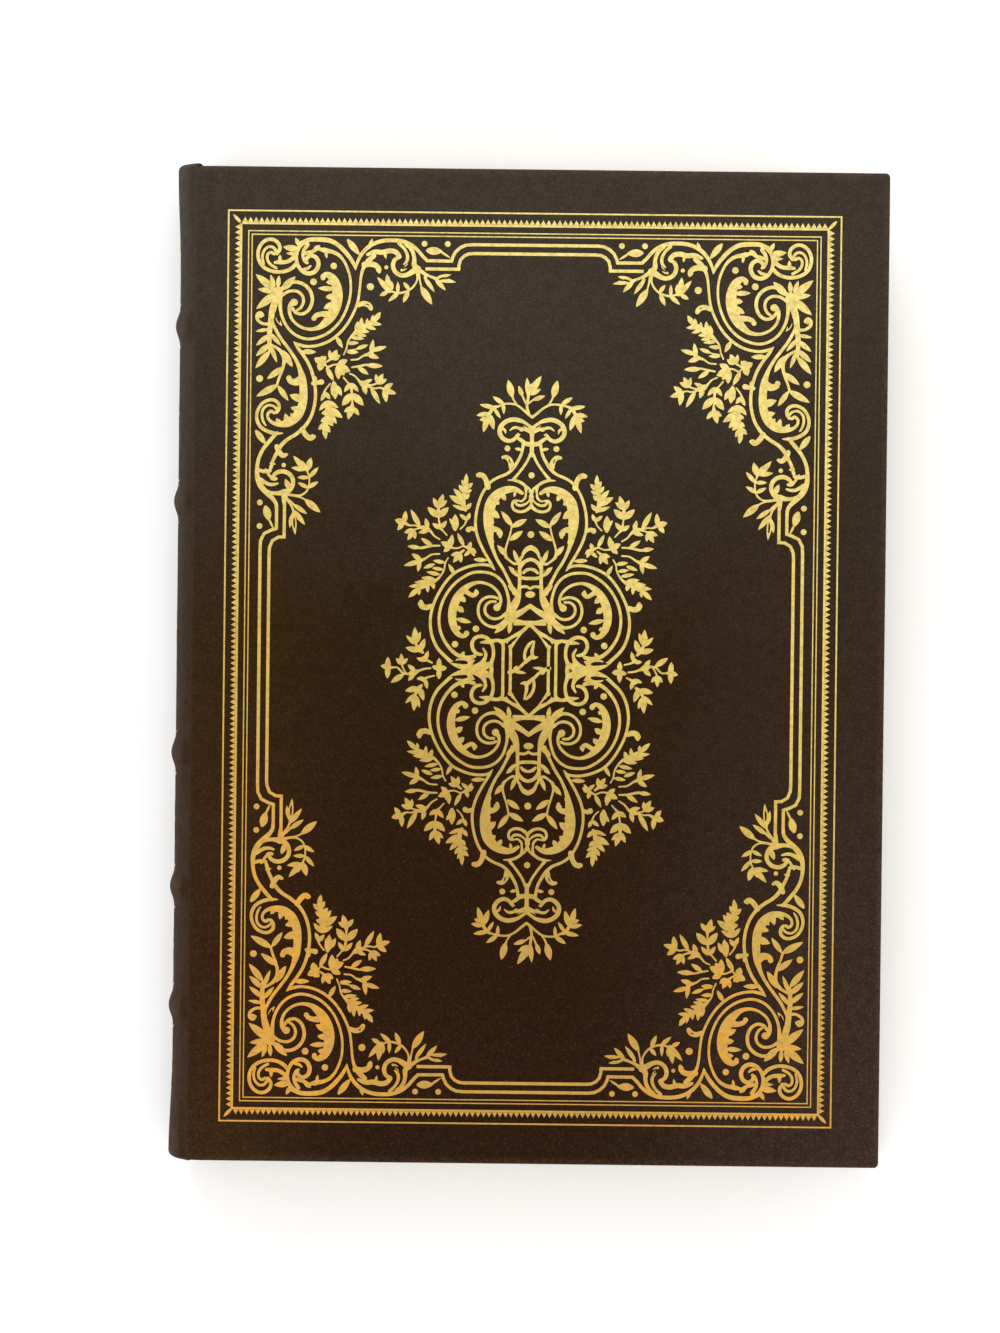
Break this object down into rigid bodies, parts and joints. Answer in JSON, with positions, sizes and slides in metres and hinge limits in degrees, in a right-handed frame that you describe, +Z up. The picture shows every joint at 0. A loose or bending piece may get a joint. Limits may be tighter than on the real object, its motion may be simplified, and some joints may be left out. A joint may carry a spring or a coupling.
{
  "type": "leather-bound book",
  "caption": "Antique closed book in dark brown leather with raised spine bands and a gold-tooled cover; both covers open on leather joints.",
  "frame": {"origin": "middle of the footprint, on the face of the back cover that the book lies on", "axes": "+Z up out of the front cover, +Y towards the head of the book, +X towards the fore edge; the spine is at -X"},
  "size_m": [0.1826, 0.2549, 0.0387],
  "materials": {
    "pages": "matte paper with gilt edges",
    "endpaper": "matte",
    "lining_paper": "matte",
    "lining_cloth": "matte",
    "end_band_silk": "soft sheen",
    "band_core": "matte",
    "board": "matte pulp board",
    "leather": "satin, fine grain",
    "gilding": "satin gold leaf"
  },
  "bodies": {
    "book_block": {"text_block": "pages", "spine_cloth": "lining_cloth", "spine_lining": "lining_paper", "head_band": "end_band_silk", "tail_band": "end_band_silk", "front_flyleaf": "endpaper", "back_flyleaf": "endpaper", "spine_inlay": "lining_paper", "raised_bands": "band_core", "spine_leather": "leather", "spine_gilt_fillets": "gilding", "front_joint_leather": "leather", "back_joint_leather": "leather"},
    "front_cover": {"front_board": "board", "front_leather": "leather", "front_pastedown": "endpaper", "front_gilt_frame": "gilding", "front_gilt_corners": "gilding", "front_gilt_centrepiece": "gilding"},
    "back_cover": {"back_board": "board", "back_leather": "leather", "back_pastedown": "endpaper", "back_gilt_frame": "gilding"}
  },
  "joints": [
    {"name": "front_cover_hinge", "type": "hinge", "parent": "book_block", "child": "front_cover", "pos_m": [-0.0838, 0, 0.0367], "axis": [0, -1, 0], "range_deg": [0, 170], "deforming": ["front_joint_leather"]},
    {"name": "back_cover_hinge", "type": "hinge", "parent": "book_block", "child": "back_cover", "pos_m": [-0.0838, 0, 0.0019], "axis": [0, 1, 0], "range_deg": [0, 170], "deforming": ["back_joint_leather"]}
  ]
}
